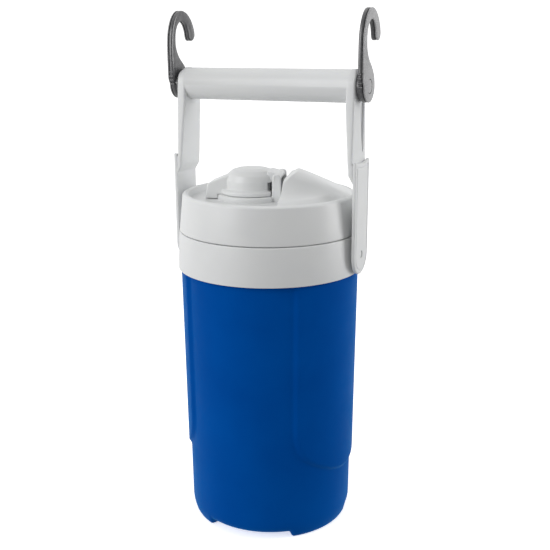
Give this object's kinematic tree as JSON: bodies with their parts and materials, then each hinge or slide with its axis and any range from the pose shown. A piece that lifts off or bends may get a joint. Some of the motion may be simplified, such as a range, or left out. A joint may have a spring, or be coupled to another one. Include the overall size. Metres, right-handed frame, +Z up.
{
  "type": "insulated water jug",
  "caption": "Insulated drinking jug with a screw lid, flip-up spout cap, swinging carry handle and folding hooks for hanging it on a rail.",
  "frame": {"origin": "centre of the base at floor level, under the jug's axis", "axes": "+Z up along the jug's axis; the handle swings about an axis along X; both hooks open towards +Y"},
  "size_m": [0.156, 0.143, 0.3981],
  "materials": {
    "outer_shell": "satin",
    "foam_insulation": "foam",
    "inner_liner": "soft gloss",
    "collar_ring": "soft gloss",
    "foam_fill_plug": "satin",
    "lid_shell": "soft gloss",
    "lid_inner_plate": "soft gloss",
    "lid_gasket": "soft",
    "spout": "soft gloss",
    "spout_o_ring": "soft",
    "vent_valve": "soft",
    "flip_cap": "soft gloss",
    "flip_cap_seal": "soft",
    "cap_hinge_pin": "bright",
    "handle": "soft gloss",
    "handle_pivot_pin_left": "soft gloss",
    "handle_pivot_pin_right": "soft gloss",
    "hook_left": "metallic grey gloss",
    "hook_right": "metallic grey gloss",
    "hook_pivot_pin_left": "satin",
    "hook_pivot_pin_right": "satin"
  },
  "bodies": {
    "jug_body": {"outer_shell": "outer_shell", "foam_insulation": "foam_insulation", "inner_liner": "inner_liner", "collar_ring": "collar_ring", "foam_fill_plug": "foam_fill_plug", "handle_pivot_pin_left": "handle_pivot_pin_left", "handle_pivot_pin_right": "handle_pivot_pin_right"},
    "lid_seal": {"lid_gasket": "lid_gasket"},
    "lid": {"lid_shell": "lid_shell", "lid_inner_plate": "lid_inner_plate", "spout": "spout", "spout_o_ring": "spout_o_ring", "vent_valve": "vent_valve", "cap_hinge_pin": "cap_hinge_pin"},
    "flip_cap": {"flip_cap": "flip_cap", "flip_cap_seal": "flip_cap_seal"},
    "handle": {"handle": "handle", "hook_pivot_pin_left": "hook_pivot_pin_left", "hook_pivot_pin_right": "hook_pivot_pin_right"},
    "hook_left": {"hook_left": "hook_left"},
    "hook_right": {"hook_right": "hook_right"}
  },
  "joints": [
    {"name": "handle_swing", "type": "hinge", "parent": "jug_body", "child": "handle", "pos_m": [0, 0, 0.2207], "axis": [1, 0, 0], "range_deg": [-138, 138]},
    {"name": "hook_left_fold", "type": "hinge", "parent": "handle", "child": "hook_left", "pos_m": [-0.075, 0, 0.3439], "axis": [1, 0, 0], "range_deg": [0, 180]},
    {"name": "hook_right_fold", "type": "hinge", "parent": "handle", "child": "hook_right", "pos_m": [0.075, 0, 0.3439], "axis": [1, 0, 0], "range_deg": [0, 180]},
    {"name": "lid_lift", "type": "slide", "parent": "jug_body", "child": "lid_seal", "axis": [0, 0, 1], "range_m": [0, 0.0106]},
    {"name": "lid_turn", "type": "hinge", "parent": "lid_seal", "child": "lid", "pos_m": [0, 0, 0.25], "axis": [0, 0, 1], "range_deg": [0, 630]},
    {"name": "flip_cap_hinge", "type": "hinge", "parent": "lid", "child": "flip_cap", "pos_m": [0.00771, 0.00214, 0.276], "axis": [-0.2672, 0.9636, 0], "range_deg": [0, 80]}
  ],
  "couplings": [
    {"joint": "lid_lift", "follows": "lid_turn", "m_per_rad": 0.00095493}
  ]
}
